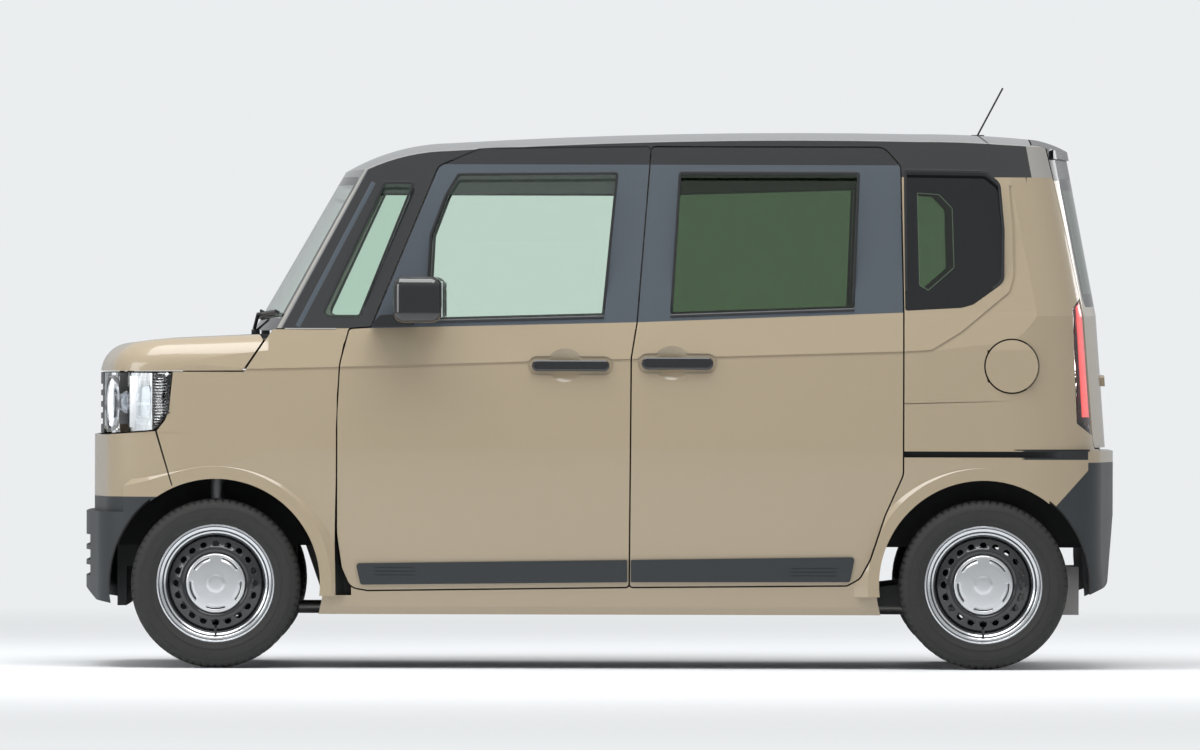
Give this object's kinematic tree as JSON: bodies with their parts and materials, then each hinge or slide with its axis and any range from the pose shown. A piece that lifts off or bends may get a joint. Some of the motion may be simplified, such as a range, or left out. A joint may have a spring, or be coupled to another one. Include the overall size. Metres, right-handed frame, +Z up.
{
  "type": "kei car",
  "caption": "Tall kei wagon with hinged front doors, fixed sliding rear doors, tailgate, bonnet, fuel lid, coupled front steering and free-turning steel wheels.",
  "frame": {"origin": "On the floor, halfway between the axles and between the sides of the car", "axes": "+X to the rear, +Y to the car's right-hand side, +Z up"},
  "size_m": [3.395, 1.869, 1.9194],
  "materials": {
    "body_paint": "satin solid beige",
    "roof_paint": "gloss dark grey",
    "black_trim": "grained dark slate",
    "sash_black": "matte dark blue grey",
    "glass_front": "light green tint",
    "glass_rear": "dark privacy tint",
    "lamp_clear": "clear lens",
    "lamp_red": "red and clear lens",
    "tyre": "matt rubber",
    "wheel_steel": "silver paint",
    "chassis": "black underbody coating",
    "interior": "dark grain",
    "seat_fabric": "woven grey brown",
    "cast": "cast"
  },
  "bodies": {
    "body": {"front_bumper": "body_paint", "front_bumper_skirt": "black_trim", "headlamps": "lamp_clear", "front_grille": "black_trim", "front_fenders": "body_paint", "cowl": "black_trim", "side_frames": "body_paint", "roof_rails": "roof_paint", "corner_glasses": "glass_front", "rear_side_glasses": "glass_rear", "roof_panel": "roof_paint", "windscreen": "glass_front", "tail_lamps": "lamp_red", "rear_bumper": "body_paint", "rear_bumper_skirt": "black_trim", "sliding_doors": "body_paint", "sliding_door_trims": "black_trim", "floor_pan": "chassis", "arch_liners": "black_trim", "front_frame": "chassis", "front_subframe": "chassis", "suspension_springs": "chassis", "rear_axle": "chassis", "engine": "cast", "fuel_tank": "black_trim", "exhaust": "cast", "front_seats": "seat_fabric", "rear_seats": "seat_fabric", "dashboard": "interior", "steering_wheel": "interior", "antenna": "black_trim"},
    "front_door_left": {"front_door_left": "body_paint", "front_door_left_glass": "glass_front", "front_door_left_trim": "black_trim", "mirror_left": "body_paint"},
    "knuckle_left": {"knuckle_left": "cast"},
    "wheel_front_left": {"tyre_front_left": "tyre", "rim_front_left": "wheel_steel"},
    "wheel_rear_left": {"tyre_rear_left": "tyre", "rim_rear_left": "wheel_steel"},
    "front_door_right": {"front_door_right": "body_paint", "front_door_right_glass": "glass_front", "front_door_right_trim": "black_trim", "mirror_right": "body_paint"},
    "knuckle_right": {"knuckle_right": "cast"},
    "wheel_front_right": {"tyre_front_right": "tyre", "rim_front_right": "wheel_steel"},
    "wheel_rear_right": {"tyre_rear_right": "tyre", "rim_rear_right": "wheel_steel"},
    "tailgate": {"tailgate": "body_paint", "tailgate_glass": "glass_rear"},
    "bonnet": {"bonnet": "body_paint"},
    "fuel_lid": {"fuel_lid": "body_paint"}
  },
  "joints": [
    {"name": "front_door_left_hinge", "type": "hinge", "parent": "body", "child": "front_door_left", "pos_m": [-0.815, -0.712, 0.65], "axis": [0, 0, -1], "range_deg": [0, 65]},
    {"name": "steering_left", "type": "hinge", "parent": "body", "child": "knuckle_left", "pos_m": [-1.26, -0.6, 0.185], "axis": [0, 0.1564, 0.9877], "range_deg": [-33, 33]},
    {"name": "wheel_front_left_spin", "type": "hinge", "parent": "knuckle_left", "child": "wheel_front_left", "pos_m": [-1.26, -0.6525, 0.2785], "axis": [0, 1, 0], "continuous": true},
    {"name": "wheel_rear_left_spin", "type": "hinge", "parent": "body", "child": "wheel_rear_left", "pos_m": [1.26, -0.6525, 0.2785], "axis": [0, 1, 0], "continuous": true},
    {"name": "front_door_right_hinge", "type": "hinge", "parent": "body", "child": "front_door_right", "pos_m": [-0.815, 0.712, 0.65], "axis": [0, 0, 1], "range_deg": [0, 65]},
    {"name": "steering_right", "type": "hinge", "parent": "body", "child": "knuckle_right", "pos_m": [-1.26, 0.6, 0.185], "axis": [0, -0.1564, 0.9877], "range_deg": [-33, 33]},
    {"name": "wheel_front_right_spin", "type": "hinge", "parent": "knuckle_right", "child": "wheel_front_right", "pos_m": [-1.26, 0.6525, 0.2785], "axis": [0, 1, 0], "continuous": true},
    {"name": "wheel_rear_right_spin", "type": "hinge", "parent": "body", "child": "wheel_rear_right", "pos_m": [1.26, 0.6525, 0.2785], "axis": [0, 1, 0], "continuous": true},
    {"name": "tailgate_hinge", "type": "hinge", "parent": "body", "child": "tailgate", "pos_m": [1.408, 0, 1.742], "axis": [0, -1, 0], "range_deg": [0, 80]},
    {"name": "bonnet_hinge", "type": "hinge", "parent": "body", "child": "bonnet", "pos_m": [-1.082, 0, 1.088], "axis": [0, 1, 0], "range_deg": [0, 50]},
    {"name": "fuel_lid_hinge", "type": "hinge", "parent": "body", "child": "fuel_lid", "pos_m": [1.279, -0.729, 0.997], "axis": [0, 0, -1], "range_deg": [0, 70]}
  ],
  "couplings": [
    {"joint": "steering_right", "follows": "steering_left", "ratio": 1}
  ]
}
